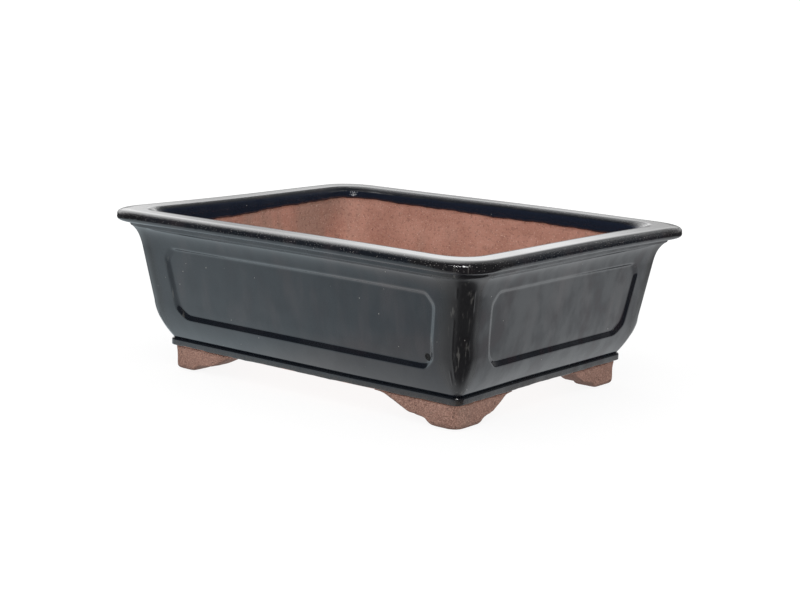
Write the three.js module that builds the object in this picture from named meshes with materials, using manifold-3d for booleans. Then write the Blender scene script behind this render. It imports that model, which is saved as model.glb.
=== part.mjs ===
// A rectangular bonsai planter in stoneware: clay slabs and strips pressed together with slip,
// bare inside and below, with one skin of glaze over the outside and the lip.
// Millimetres, +Z up. The origin is on the ground under the middle, and +X runs along the length.
import * as THREE from 'three';
import { mergeVertices } from 'three/addons/utils/BufferGeometryUtils.js';
import Module from 'manifold-3d';

const wasm = await Module();
wasm.setup();

// Overall sizes, over the lip and from the ground up
const LIP_LENGTH = 250;
const LIP_WIDTH = 206;
const FOOT_HEIGHT = 12.8;
const BODY_HEIGHT = 75.6;

// Lip: a flat strip with a round edge that overhangs the wall, with a cove under it
const LIP_TOP_WIDTH = 15.5;
const LIP_THICKNESS = 6.5;
const LIP_EDGE_RADIUS = 3;
const LIP_ROUND_WIDTH = 5;
const LIP_ROUND_HEIGHT = 3.2;
const LIP_OVERHANG = 12.5;
const COVE_HEIGHT = 9.5;
const COVE_BEND = 5;

// Walls: they lean in downwards and round in to the base
const WALL_THICKNESS = 6;
const WALL_LEAN_DEGREES = 9;
const BELLY_HEIGHT = 21.3;
const BELLY_BEND = 10;

// Base rail: a strip round the base, with a crease above it
const RAIL_HEIGHT = 4.3;
const RAIL_INSET = 26.5;
const RAIL_ROUND = 1.6;
const CREASE_DEPTH = 1;

// Corner radii in plan
const LIP_CORNER = 22;
const LIP_UNDER_CORNER = 17;
const MOUTH_CORNER = 14.5;
const WALL_CORNER = 9;
const RAIL_CORNER = 4;
const INSIDE_CORNER = 16;

// Recessed panel on each wall, with cut corners
const PANEL_DEPTH = 1.6;
const PANEL_TOP_MARGIN = 1.8;
const PANEL_BOTTOM_MARGIN = 12.9;
const PANEL_LONG_SIDE_MARGIN = 17.5;
const PANEL_SHORT_SIDE_MARGIN = 21.5;
const PANEL_CORNER_CUT = 6;

// Floor, with drain holes in a row and tie-wire holes beside them
const FLOOR_THICKNESS = 8;
const DRAIN_DIAMETER = 20;
const DRAIN_SPACING = 100;
const WIRE_HOLE_DIAMETER = 6.5;
const WIRE_HOLE_SPACING_X = 100;
const WIRE_HOLE_SPACING_Y = 70;

// Feet: L-shaped, with a flat sole, a cusp, a long sweep up and a head that spreads under the rail
const FOOT_INSET = 27.8;
const FOOT_THICKNESS = 14;
const FOOT_LONG_LEG = 54;
const FOOT_SHORT_LEG = 52;
const FOOT_LONG_SOLE = 14;
const FOOT_SHORT_SOLE = 18.5;
const FOOT_CUSP_RUN = 6;
const FOOT_CUSP_HEIGHT = 3.4;
const FOOT_CORNER = 7;
const FOOT_EDGE_RADIUS = 2.5;
const FOOT_SPREAD = 1.1;
const FOOT_SPREAD_HEIGHT = 5;
const FOOT_SPREAD_BEND = 2;

// Glaze: how thick it is, how far it runs down inside the lip and the slip that it lies on
const GLAZE_THICKNESS = 0.7;
const GLAZE_DROP = 6;
const GLAZE_BED = 0.3;

// Slip joint between neighbouring clay pieces
const LUTE_GAP = 0.3;

// How finely round stretches are stepped, and how far a cutting body reaches past what it cuts
const CORNER_DIVISIONS = 3;
const CURVE_STEPS = 4;
const HOLE_DIVISIONS = 12;
const CUT_REACH = 2;

// Heights and insets that follow from the sizes above
const railTop = FOOT_HEIGHT + RAIL_HEIGHT;
const floorTop = FOOT_HEIGHT + FLOOR_THICKNESS;
const lipTop = FOOT_HEIGHT + BODY_HEIGHT;
const lipUnder = lipTop - LIP_THICKNESS;
const coveFoot = lipUnder - COVE_HEIGHT;
const bellyTop = railTop + BELLY_HEIGHT;
const glazeEdge = lipTop - GLAZE_DROP;
const skin = GLAZE_THICKNESS + GLAZE_BED;
const creaseInset = RAIL_INSET + CREASE_DEPTH;
const floorInset = RAIL_INSET + WALL_THICKNESS;
const lean = Math.tan(THREE.MathUtils.degToRad(WALL_LEAN_DEGREES));

// How far the leaning wall's face lies in from the lip's edge at a height
function leanInset(height) {
  return LIP_OVERHANG + lean * (coveFoot - height);
}

function point(inset, height) {
  return new THREE.Vector2(inset, height);
}

// Stations along a curve in the upright section, with the plan's corner radius changing on the way
function stationsAlong(curve, steps, cornerFrom, cornerTo) {
  return curve.getPoints(steps).map(({ x, y }, index) => ({
    inset: x,
    height: y,
    corner: THREE.MathUtils.lerp(cornerFrom, cornerTo, index / steps),
  }));
}

// One run of stations from several, where each starts where the one before ends
function joined(...runs) {
  return runs.flatMap((run, index) => (index === 0 ? run : run.slice(1)));
}

// The rail's face, from its foot up into the crease
function railStations() {
  const foot = point(RAIL_INSET, FOOT_HEIGHT);
  const shoulder = point(RAIL_INSET, railTop - RAIL_ROUND);
  const crease = point(creaseInset, railTop);
  const round = new THREE.QuadraticBezierCurve(shoulder, point(RAIL_INSET, railTop), crease);
  return joined(
    stationsAlong(new THREE.LineCurve(foot, shoulder), 1, RAIL_CORNER, RAIL_CORNER),
    stationsAlong(round, CURVE_STEPS / 2, RAIL_CORNER, RAIL_CORNER),
  );
}

// The wall's face, from the crease up the belly and the leaning flat to the cove
function wallStations() {
  const crease = point(creaseInset, railTop);
  const bend = point(leanInset(bellyTop - BELLY_BEND), bellyTop - BELLY_BEND);
  const belly = point(leanInset(bellyTop), bellyTop);
  const head = point(LIP_OVERHANG, coveFoot);
  const round = new THREE.QuadraticBezierCurve(crease, bend, belly);
  return joined(
    stationsAlong(round, CURVE_STEPS, RAIL_CORNER, WALL_CORNER),
    stationsAlong(new THREE.LineCurve(belly, head), 1, WALL_CORNER, WALL_CORNER),
  );
}

// The cove and the lip's outside, up to where the flat top begins
function lipStations() {
  const head = point(LIP_OVERHANG, coveFoot);
  const under = point(LIP_ROUND_WIDTH, lipUnder);
  const bend = point(leanInset(coveFoot + COVE_BEND), coveFoot + COVE_BEND);
  const face = point(0, lipUnder + LIP_ROUND_HEIGHT);
  const edge = point(0, lipTop - LIP_EDGE_RADIUS);
  const rim = point(LIP_EDGE_RADIUS, lipTop);
  const flat = point(LIP_TOP_WIDTH / 2, lipTop);
  const cove = new THREE.QuadraticBezierCurve(head, bend, under);
  const underside = new THREE.QuadraticBezierCurve(under, point(0, lipUnder), face);
  const topEdge = new THREE.QuadraticBezierCurve(edge, point(0, lipTop), rim);
  return joined(
    stationsAlong(cove, CURVE_STEPS, WALL_CORNER, LIP_UNDER_CORNER),
    stationsAlong(underside, CURVE_STEPS, LIP_UNDER_CORNER, LIP_CORNER),
    stationsAlong(new THREE.LineCurve(face, edge), 1, LIP_CORNER, LIP_CORNER),
    stationsAlong(topEdge, CURVE_STEPS / 2, LIP_CORNER, LIP_CORNER),
    stationsAlong(new THREE.LineCurve(rim, flat), 1, LIP_CORNER, LIP_CORNER),
  );
}

// The same stations moved into the clay by a depth, square to the surface
function sunk(stations, depth) {
  const last = stations.length - 1;
  const direction = (from, to) => point(to.inset - from.inset, to.height - from.height).normalize();
  return stations.map((station, index) => {
    const before = direction(stations[Math.max(index - 1, 0)], stations[Math.max(index, 1)]);
    const after = direction(stations[Math.min(index, last - 1)], stations[Math.min(index + 1, last)]);
    const along = before.clone().add(after).normalize();
    const reach = depth / along.dot(after);
    return {
      inset: station.inset + along.y * reach,
      height: station.height - along.x * reach,
      corner: station.corner - along.y * reach,
    };
  });
}

// Rounded rectangle in plan, about the origin
function roundedRectangle(halfX, halfY, corner) {
  const x = halfX - corner;
  const y = halfY - corner;
  const shape = new THREE.Shape();
  shape.absarc(x, y, corner, 0, Math.PI / 2);
  shape.absarc(-x, y, corner, Math.PI / 2, Math.PI);
  shape.absarc(-x, -y, corner, Math.PI, Math.PI * 1.5);
  shape.absarc(x, -y, corner, Math.PI * 1.5, Math.PI * 2);
  return shape;
}

// Closed body through a stack of rings, each a list of points with its height, from the lowest up
function stackGeometry(rings) {
  const count = rings[0].length;
  const positions = [];
  const triangle = (...corners) => {
    corners.forEach(({ x, y, z }) => positions.push(x, y, z));
  };
  const middle = (ring) => ring
    .reduce((sum, corner) => sum.add(corner), new THREE.Vector3())
    .divideScalar(count);
  const top = rings.length - 1;
  const low = middle(rings[0]);
  const high = middle(rings[top]);
  for (let index = 0; index < count; index += 1) {
    const next = (index + 1) % count;
    triangle(low, rings[0][next], rings[0][index]);
    triangle(high, rings[top][index], rings[top][next]);
    for (let level = 0; level < top; level += 1) {
      const [below, above] = [rings[level], rings[level + 1]];
      triangle(below[index], below[next], above[next]);
      triangle(below[index], above[next], above[index]);
    }
  }
  const geometry = new THREE.BufferGeometry();
  geometry.setAttribute('position', new THREE.Float32BufferAttribute(positions, 3));
  return geometry;
}

// Closed body whose section follows the stations all round a rectangle, by default the lip's outer edge
function sweptGeometry(stations, halfX = LIP_LENGTH / 2, halfY = LIP_WIDTH / 2) {
  const ring = ({ inset, height, corner }) => roundedRectangle(halfX - inset, halfY - inset, corner)
    .getPoints(CORNER_DIVISIONS)
    .map(({ x, y }) => new THREE.Vector3(x, y, height));
  return stackGeometry(stations.map(ring));
}

// Body for cutting and joining, made from a closed geometry
function bodyOf(geometry) {
  const bare = geometry.clone();
  bare.deleteAttribute('normal');
  bare.deleteAttribute('uv');
  const { attributes, index } = mergeVertices(bare);
  return new wasm.Manifold(new wasm.Mesh({
    numProp: 3,
    vertProperties: attributes.position.array,
    triVerts: Uint32Array.from(index.array),
  }));
}

// Everything inside the outer surface, sunk by a depth, from a given bottom up
function outside(depth, bottom) {
  const stations = sunk(joined(railStations(), wallStations(), lipStations()), depth);
  stations[0].height = bottom;
  return bodyOf(sweptGeometry(stations));
}

// The mouth inside the lip, wider by a depth, from a given bottom up past the lip's top
function mouth(depth, bottom) {
  const inset = LIP_TOP_WIDTH - depth;
  const corner = MOUTH_CORNER + depth;
  const inner = { inset, corner };
  return bodyOf(sweptGeometry([
    { ...inner, height: bottom },
    { ...inner, height: lipTop + CUT_REACH },
  ]));
}

// The hollow that the bare clay faces, from below the floor up past the lip's top
function hollow() {
  const foot = { inset: floorInset, corner: INSIDE_CORNER };
  const lipInset = LIP_TOP_WIDTH - skin;
  const lipCorner = MOUTH_CORNER + skin;
  return bodyOf(sweptGeometry([
    { ...foot, height: FOOT_HEIGHT - CUT_REACH },
    { ...foot, height: floorTop },
    { inset: leanInset(bellyTop) + WALL_THICKNESS, height: bellyTop, corner: INSIDE_CORNER },
    { inset: LIP_OVERHANG + WALL_THICKNESS, height: coveFoot, corner: INSIDE_CORNER },
    { inset: lipInset, height: glazeEdge, corner: lipCorner },
    { inset: lipInset, height: lipTop + CUT_REACH, corner: lipCorner },
  ]));
}

// The four sides: half the side's length, how far out it lies, its panel's margin and the turn from the front
const longSide = { half: LIP_LENGTH / 2, out: LIP_WIDTH / 2, margin: PANEL_LONG_SIDE_MARGIN };
const shortSide = { half: LIP_WIDTH / 2, out: LIP_LENGTH / 2, margin: PANEL_SHORT_SIDE_MARGIN };
const sides = [
  { name: 'front', ...longSide, turn: 0 },
  { name: 'right', ...shortSide, turn: Math.PI / 2 },
  { name: 'back', ...longSide, turn: Math.PI },
  { name: 'left', ...shortSide, turn: Math.PI * 1.5 },
];

// Panel outline on a side, grown by a distance all round
function panelShape({ half, margin }, grown) {
  const top = coveFoot - PANEL_TOP_MARGIN + grown;
  const bottom = railTop + PANEL_BOTTOM_MARGIN - grown;
  const cut = PANEL_CORNER_CUT + grown * (2 - Math.SQRT2);
  const edge = (height) => half - leanInset(height) - margin + grown;
  const rightSide = [
    point(edge(bottom) - cut, bottom),
    point(edge(bottom + cut), bottom + cut),
    point(edge(top - cut), top - cut),
    point(edge(top) - cut, top),
  ];
  const leftSide = rightSide.map(({ x, y }) => point(-x, y)).reverse();
  return new THREE.Shape([...rightSide, ...leftSide]);
}

// The four panel recesses of a surface that lies a depth below the glaze
function panelRecesses(depth) {
  const below = PANEL_DEPTH + depth;
  const face = wallStations().map(({ inset, height, corner }) => ({
    inset: inset + below,
    height,
    corner: corner - below,
  }));
  const bed = bodyOf(sweptGeometry([
    { ...face[0], height: FOOT_HEIGHT },
    ...face,
    { ...face[face.length - 1], height: lipTop },
  ]));
  const prisms = sides.map((side) => {
    const options = { depth: side.out, bevelEnabled: false };
    const prism = new THREE.ExtrudeGeometry(panelShape(side, depth), options);
    prism.rotateX(Math.PI / 2);
    prism.rotateZ(side.turn);
    return bodyOf(prism).subtract(bed);
  });
  return prisms.reduce((all, prism) => all.add(prism));
}

// All clay of one side, between two heights, with mitred ends half a slip joint back
function sideBlock({ half, out, turn }, low, high) {
  const depth = floorInset + INSIDE_CORNER;
  const back = LUTE_GAP * Math.SQRT1_2;
  const outline = new THREE.Shape([
    point(-half - CUT_REACH + back, -out - CUT_REACH),
    point(half + CUT_REACH - back, -out - CUT_REACH),
    point(half - depth - back, depth - out),
    point(depth - half + back, depth - out),
  ]);
  const block = new THREE.ExtrudeGeometry(outline, { depth: high - low, bevelEnabled: false });
  block.translate(0, 0, low);
  block.rotateZ(turn);
  return bodyOf(block);
}

function clayMaterial() {
  return new THREE.MeshStandardMaterial({ color: 0x9b6a5a, roughness: 0.9, metalness: 0 });
}

function glazeMaterial() {
  return new THREE.MeshStandardMaterial({ color: 0x11151b, roughness: 0.12, metalness: 0 });
}

// Named piece from a body or a geometry
function piece(name, shape, material) {
  let geometry = shape;
  if (shape instanceof wasm.Manifold) {
    const { vertProperties, triVerts } = shape.getMesh();
    geometry = new THREE.BufferGeometry();
    geometry.setAttribute('position', new THREE.Float32BufferAttribute(vertProperties, 3));
    geometry.setIndex(new THREE.Uint32BufferAttribute(triVerts, 1));
    geometry.computeVertexNormals();
  }
  const mesh = new THREE.Mesh(geometry, material);
  mesh.name = name;
  return mesh;
}

// Walls, lip strips and rails: the clay ring parted at the two levels and at the mitres
function clayRing() {
  const group = new THREE.Group();
  const clay = outside(skin, FOOT_HEIGHT).subtract(hollow()).subtract(panelRecesses(skin));
  const railJoint = railTop - skin;
  const halfGap = LUTE_GAP / 2;
  const levels = [
    { name: 'base_rail', low: FOOT_HEIGHT - CUT_REACH, high: railJoint - halfGap },
    { name: 'wall', low: railJoint + halfGap, high: coveFoot - halfGap },
    { name: 'lip', low: coveFoot + halfGap, high: lipTop + CUT_REACH },
  ];
  for (const { name, low, high } of levels) {
    for (const side of sides) {
      const body = clay.intersect(sideBlock(side, low, high));
      group.add(piece(`${name}_${side.name}`, body, clayMaterial()));
    }
  }
  return group;
}

// Floor slab, set between the walls, with its holes
function floorSlab() {
  const inset = floorInset + LUTE_GAP;
  const shape = roundedRectangle(LIP_LENGTH / 2 - inset, LIP_WIDTH / 2 - inset, INSIDE_CORNER - LUTE_GAP);
  const hole = (x, y, diameter) => {
    const path = new THREE.Path();
    path.absarc(x, y, diameter / 2, 0, Math.PI * 2, true);
    return new THREE.Path(path.getPoints(HOLE_DIVISIONS));
  };
  for (const end of [-1, 1]) {
    shape.holes.push(hole((end * DRAIN_SPACING) / 2, 0, DRAIN_DIAMETER));
    for (const flank of [-1, 1]) {
      const x = (end * WIRE_HOLE_SPACING_X) / 2;
      shape.holes.push(hole(x, (flank * WIRE_HOLE_SPACING_Y) / 2, WIRE_HOLE_DIAMETER));
    }
  }
  const slab = new THREE.ExtrudeGeometry(shape, {
    depth: FLOOR_THICKNESS,
    bevelEnabled: false,
    curveSegments: CORNER_DIVISIONS * 2,
  });
  const mesh = piece('floor_slab', slab, clayMaterial());
  mesh.position.z = FOOT_HEIGHT;
  return mesh;
}

// Glaze: the outer surface less what lies under the glaze
function glazeCoat() {
  const faced = outside(0, FOOT_HEIGHT)
    .subtract(mouth(0, glazeEdge - CUT_REACH))
    .subtract(panelRecesses(0));
  const backed = outside(GLAZE_THICKNESS, FOOT_HEIGHT - CUT_REACH)
    .subtract(mouth(GLAZE_THICKNESS, glazeEdge))
    .subtract(panelRecesses(GLAZE_THICKNESS));
  return piece('glaze_coat', faced.subtract(backed), glazeMaterial());
}

// One leg of a foot seen from its side, from the corner inwards: sole, round toe, cusp and sweep
function legShape(leg, sole, inwards) {
  const top = FOOT_HEIGHT - LUTE_GAP;
  const cusp = sole + FOOT_CUSP_RUN;
  const sweep = (leg - cusp) / 2;
  const shape = new THREE.Shape();
  shape.moveTo(-inwards * CUT_REACH, -CUT_REACH);
  shape.lineTo(inwards * sole, -CUT_REACH);
  shape.lineTo(inwards * sole, 0);
  shape.quadraticCurveTo(inwards * (sole + FOOT_CUSP_RUN / 2), 0, inwards * cusp, FOOT_CUSP_HEIGHT);
  shape.bezierCurveTo(
    inwards * (cusp + sweep), FOOT_CUSP_HEIGHT, inwards * (leg - sweep), top, inwards * leg, top);
  shape.lineTo(-inwards * CUT_REACH, top);
  return shape;
}

function legGeometry(leg, sole, inwards) {
  const options = { depth: FOOT_THICKNESS + CUT_REACH, bevelEnabled: false, curveSegments: CURVE_STEPS };
  const geometry = new THREE.ExtrudeGeometry(legShape(leg, sole, inwards), options);
  geometry.rotateX(Math.PI / 2);
  geometry.translate(0, CUT_REACH, 0);
  return geometry;
}

// Foot at a back corner, with its outer corner at its own origin: side is 1 at the right, -1 at the left
function footBody(side) {
  const longLeg = legGeometry(FOOT_LONG_LEG, FOOT_LONG_SOLE, -side);
  const shortLeg = legGeometry(FOOT_SHORT_LEG, FOOT_SHORT_SOLE, side);
  shortLeg.rotateZ((-side * Math.PI) / 2);
  const round = new THREE.QuadraticBezierCurve(
    point(FOOT_EDGE_RADIUS, 0), point(0, 0), point(0, FOOT_EDGE_RADIUS));
  const edge = stationsAlong(round, CURVE_STEPS, FOOT_CORNER - FOOT_EDGE_RADIUS, FOOT_CORNER);
  const spread = new THREE.QuadraticBezierCurve(
    point(0, FOOT_HEIGHT - FOOT_SPREAD_HEIGHT),
    point(0, FOOT_HEIGHT - FOOT_SPREAD_BEND),
    point(-FOOT_SPREAD, FOOT_HEIGHT));
  const head = stationsAlong(spread, CURVE_STEPS / 2, FOOT_CORNER, FOOT_CORNER + FOOT_SPREAD);
  const outline = [...edge, ...head];
  const envelope = sweptGeometry(outline, FOOT_LONG_LEG, FOOT_SHORT_LEG);
  envelope.translate(-side * FOOT_LONG_LEG, -FOOT_SHORT_LEG, 0);
  return bodyOf(longLeg).add(bodyOf(shortLeg)).intersect(bodyOf(envelope));
}

// Four feet: a front foot is the back foot across from it, turned half round
function feet() {
  const group = new THREE.Group();
  const x = LIP_LENGTH / 2 - FOOT_INSET;
  const y = LIP_WIDTH / 2 - FOOT_INSET;
  const corners = [
    { name: 'foot_back_right', side: 1, back: 1 },
    { name: 'foot_back_left', side: -1, back: 1 },
    { name: 'foot_front_right', side: 1, back: -1 },
    { name: 'foot_front_left', side: -1, back: -1 },
  ];
  for (const { name, side, back } of corners) {
    const mesh = piece(name, footBody(side * back), clayMaterial());
    mesh.position.set(side * x, back * y, 0);
    mesh.rotation.z = back > 0 ? 0 : Math.PI;
    group.add(mesh);
  }
  return group;
}

const planter = new THREE.Group();
planter.add(floorSlab(), clayRing(), glazeCoat(), feet());

export default planter;
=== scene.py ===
import math

import bpy
import numpy as np
from mathutils import Matrix, Vector, noise
from mathutils.geometry import delaunay_2d_cdt


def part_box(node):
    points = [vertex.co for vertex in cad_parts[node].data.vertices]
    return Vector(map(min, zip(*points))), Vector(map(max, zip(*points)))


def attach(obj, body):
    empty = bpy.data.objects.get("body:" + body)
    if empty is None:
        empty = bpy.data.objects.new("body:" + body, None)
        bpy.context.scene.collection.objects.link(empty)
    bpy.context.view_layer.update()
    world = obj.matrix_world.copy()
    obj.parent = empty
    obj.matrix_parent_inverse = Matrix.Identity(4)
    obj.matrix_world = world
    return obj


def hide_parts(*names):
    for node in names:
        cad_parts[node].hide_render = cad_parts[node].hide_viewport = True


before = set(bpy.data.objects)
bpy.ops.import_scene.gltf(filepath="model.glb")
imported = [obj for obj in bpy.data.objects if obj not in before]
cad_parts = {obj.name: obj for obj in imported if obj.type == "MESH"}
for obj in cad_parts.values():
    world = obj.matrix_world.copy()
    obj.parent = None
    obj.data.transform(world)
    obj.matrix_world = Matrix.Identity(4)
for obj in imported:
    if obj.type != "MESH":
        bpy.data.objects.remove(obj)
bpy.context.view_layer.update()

# A glazed rectangular bonsai planter, in metres, with +Z up and the origin on the ground under its middle.

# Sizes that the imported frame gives
glaze_low, glaze_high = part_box("glaze_coat")
_, floor_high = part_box("floor_slab")
HALF_LENGTH = glaze_high.x
HALF_WIDTH = glaze_high.y
LIP_TOP = glaze_high.z
BASE = glaze_low.z
FLOOR_TOP = floor_high.z

# Lip: the mouth's soft bevel, the flat top, the outer edge and the rounding under it
LIP_TOP_WIDTH = 0.0185
LIP_INNER_FOOT = LIP_TOP_WIDTH + 0.0003
LIP_FLAT_WIDTH = 0.0140
LIP_THICKNESS = 0.0065
LIP_UNDER = LIP_TOP - LIP_THICKNESS
LIP_OVERHANG = 0.0125
BEVEL_DROP = 0.0055
BEVEL_PULL_INSET = LIP_TOP_WIDTH - 0.0004
BEVEL_PULL_DROP = 0.0012
LIP_EDGE_WIDTH = 0.006
LIP_EDGE_HEIGHT = 0.0032
LIP_ROUND_WIDTH = 0.005
LIP_ROUND_HEIGHT = 0.0032

# Neck under the lip with a small ledge at its foot, and the cove down to the wall
NECK_INSET = LIP_ROUND_WIDTH + 0.0014
NECK_FALL = 0.0003
NECK_LEAN = 0.0006
NECK_FOOT = LIP_UNDER - 0.0022
LEDGE_WIDTH = 0.0003
LEDGE_FALL = 0.0002
COVE_HEIGHT = 0.0095
COVE_FOOT = LIP_UNDER - COVE_HEIGHT
COVE_BEND = COVE_FOOT + 0.0042
COVE_TAIL = COVE_FOOT - 0.0045

# Walls and base rail
WALL_THICKNESS = 0.006
WALL_LEAN = math.tan(math.radians(9))
RAIL_TOP = BASE + 0.0043
RAIL_INSET = 0.0265
RAIL_ROUND = 0.0011
CREASE_INSET = RAIL_INSET + 0.001
BELLY_TOP = RAIL_TOP + 0.0213
BELLY_BEND = BELLY_TOP - 0.010

# Corner radii in plan, and the power that eases each corner into its sides, where 2 is a plain arc
LIP_CORNER = 0.022
LIP_FLAT_CORNER = LIP_CORNER - 0.003
LIP_UNDER_CORNER = 0.017
MOUTH_CORNER = 0.0145
BEVEL_CORNER = MOUTH_CORNER + 0.001
NECK_CORNER = 0.016
NECK_FOOT_CORNER = NECK_CORNER - NECK_LEAN
WALL_CORNER = 0.010
RAIL_CORNER = 0.004
INSIDE_CORNER = 0.016
LEAST_CORNER = 0.0005
CORNER_POWER = 2.4
CORNER_REACH = (1 - 0.5 ** 0.5) / (1 - 0.5 ** (1 / CORNER_POWER))

# Recessed panels: outline, how deep they are at the head and at the foot, and their slopes
PANEL_TOP = COVE_FOOT - 0.0018
PANEL_BOTTOM = RAIL_TOP + 0.0129
PANEL_MARGINS = (0.0186, 0.0215)
PANEL_SHIFTS = (0.0029, 0.0011)
PANEL_CUT = 0.006
PANEL_ROUND = 0.0007
PANEL_DEPTH = 0.0014
PANEL_LOW_DEPTH = 0.0021
PANEL_LOW_HEIGHT = 0.018
SIDE_SLOPE = 0.0034
UPPER_SLOPE = 0.0024
LOWER_SLOPE = 0.0029

# Runs of glaze down the corners: share of the corner's turn, lowest and highest point above the base
RUNS = ((0.16, 0.010, 0.018), (0.30, 0.014, 0.044), (0.33, 0.055, 0.060), (0.62, 0.013, 0.021),
        (0.80, 0.024, 0.034), (0.86, 0.047, 0.058))
RUN_HEIGHT = 0.00020
RUN_WIDTH = 0.00050
RUN_FADE = 0.003

# Marks of making by hand: lumps on the glazed face, and a slow warp that grows from the base up
LUMP_HEIGHT = 0.00004
LUMP_WAVE = 0.045
WARP = 0.00030
CROSS_WARP = 0.00025

# How far the body's near lower corner was pressed out of square, and how far that reaches
PRESSED = Vector((0.0018, 0.0014, 0.0))
PRESSED_REACH = 0.075
PRESSED_TOP = BELLY_TOP + 0.010

# How far the lip's far right corner was pulled out, and how far that reaches
PULLED = Vector((0.0008, 0.0012, 0.0))
PULLED_REACH = 0.040

# Glaze: thickness at its ends, its drop and rolled rim in the lip, its end on the rail and its unseen back
GLAZE_THICKNESS = 0.0008
GLAZE_DROP = 0.0080
GLAZE_ROLL = 0.0012
GLAZE_FOOT = BASE + 0.0003
GLAZE_FOOT_ROUND = 0.0005
GLAZE_BACK = 0.0030

# The glaze's edges waver, and the inner one lies higher at the far left and lower at the near left
EDGE_WAVES = ((1.0, 11), (0.8, 31), (0.6, 83))
INNER_WAVE = 0.0005
FOOT_WAVE = 0.00025
RAISED = 0.0014
RAISED_ALONG = (0.02, -0.10)
RAISED_ACROSS = (0.0, 0.08)
LOWERED = 0.0025
LOWERED_ALONG = (-0.06, -0.09)
LOWERED_ACROSS = (0.03, -0.05)
INNER_EDGE_INSET = (LIP_TOP_WIDTH - 0.002, LIP_TOP_WIDTH)
INNER_EDGE_HEIGHT = (LIP_TOP - 0.001, LIP_TOP - 0.005)
FOOT_EDGE_HEIGHT = (BASE + 0.003, GLAZE_FOOT)

# Clay body: its unseen face behind the glaze, its tuck under the glaze's edges and its bends inside
CLAY_BACK = 0.0035
CLAY_GAP = 0.00005
CLAY_TUCK = 0.001
BACK_FOOT = RAIL_TOP - 0.002
BACK_HEAD_INSET = LIP_TOP_WIDTH - 0.001
SHOULDER_INSET = LIP_OVERHANG + WALL_THICKNESS
SHOULDER_PULL = 0.0006
SHOULDER_BEND = COVE_FOOT + 0.004
INSIDE_BEND_INSET = RAIL_INSET + WALL_THICKNESS - 0.002
UNDER_EDGE_WIDTH = 0.0009
UNDER_EDGE_HEIGHT = 0.0007

# Floor holes, and the flat patch of floor round them
DRAIN_RADIUS = 0.010
DRAIN_X = 0.050
WIRE_RADIUS = 0.00325
WIRE_X = 0.050
WIRE_Y = 0.035
HOLE_ROUND = 0.0008
HOLE_STEPS = 40
PATCH_INSET = 0.044
PATCH_GRID = 0.003
PATCH_ROOM = HOLE_ROUND + 0.001
FLOOR_EDGE_INSET = PATCH_INSET - 0.004

# Feet: mesh size, softening passes, pressed dents and how far each reaches up into the body
FOOT_VOXEL = 0.0006
FOOT_SOFTENING = 22
FOOT_DENT = 0.00028
FOOT_DENT_SCALE = 170.0
FOOT_DENT_SEED = 3
FOOT_SOLE_ZONE = 0.003
FOOT_HEAD_ZONE = (0.005, 0.0005)
FOOT_REACH = 0.0005

# Mesh steps
EDGE_STEP = 0.0003
NECK_STEP = 0.0004
FINE = 0.0005
FACE_STEP = 0.0006
LIP_FACE_STEP = 0.0008
CLAY_LIP_STEP = 0.001
WALL_STEP = 0.0012
LIP_TOP_STEP = 0.0014
CLAY_STEP = 0.0022
MIDDLE = 0.003
BACK_WALL_STEP = 0.020
FINE_WALL_FOOT = PANEL_TOP - 0.009
END_ZONE = 0.021
CORNER_STEPS = 56
SHARP_ANGLE = math.radians(55)

# Camera, fitted to the photograph's edges in a frame of 800 by 611 pixels
CAMERA_AZIMUTH = math.radians(38.56)
CAMERA_ELEVATION = math.radians(10.72)
CAMERA_ROLL = math.radians(1.81)
CAMERA_DISTANCE = 0.9136
CAMERA_AIM = Vector((0.0, 0.0, 0.0464))
CAMERA_RIGHT = 0.0019
CAMERA_UP = -0.0074
CAMERA_LENS = 75.07

TOWARDS_CAMERA = Vector((math.sin(CAMERA_AZIMUTH), -math.cos(CAMERA_AZIMUTH), 0.0))
RIGHT_OF_CAMERA = Vector((math.cos(CAMERA_AZIMUTH), math.sin(CAMERA_AZIMUTH), 0.0))
UP = Vector((0.0, 0.0, 1.0))


def lean_inset(height):
    """How far the leaning wall's face lies in from the lip's edge at a height."""
    return LIP_OVERHANG + WALL_LEAN * (COVE_FOOT - height)


def smooth(low, high, value):
    """Rises softly from 0 at low to 1 at high."""
    part = np.clip((value - low) / (high - low), 0.0, 1.0)
    return part * part * (3.0 - 2.0 * part)


# Sections: lists of stations, each an inset from the lip's edge, a height and a corner radius in plan


def extend(path, end, step, bend=None):
    """Adds stations about a step apart, on a straight line or on a curve pulled towards a bend."""
    start = np.array(path[-1])
    end = np.array(end)
    count = max(1, round(math.dist(start[:2], end[:2]) / step))
    for index in range(1, count + 1):
        t = index / count
        if bend is None:
            station = start * (1 - t) + end * t
        else:
            middle = np.array([*bend[:2], bend[2] if len(bend) > 2 else (start[2] + end[2]) / 2])
            station = start * (1 - t) ** 2 + middle * 2 * t * (1 - t) + end * t ** 2
        path.append(tuple(station))


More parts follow.
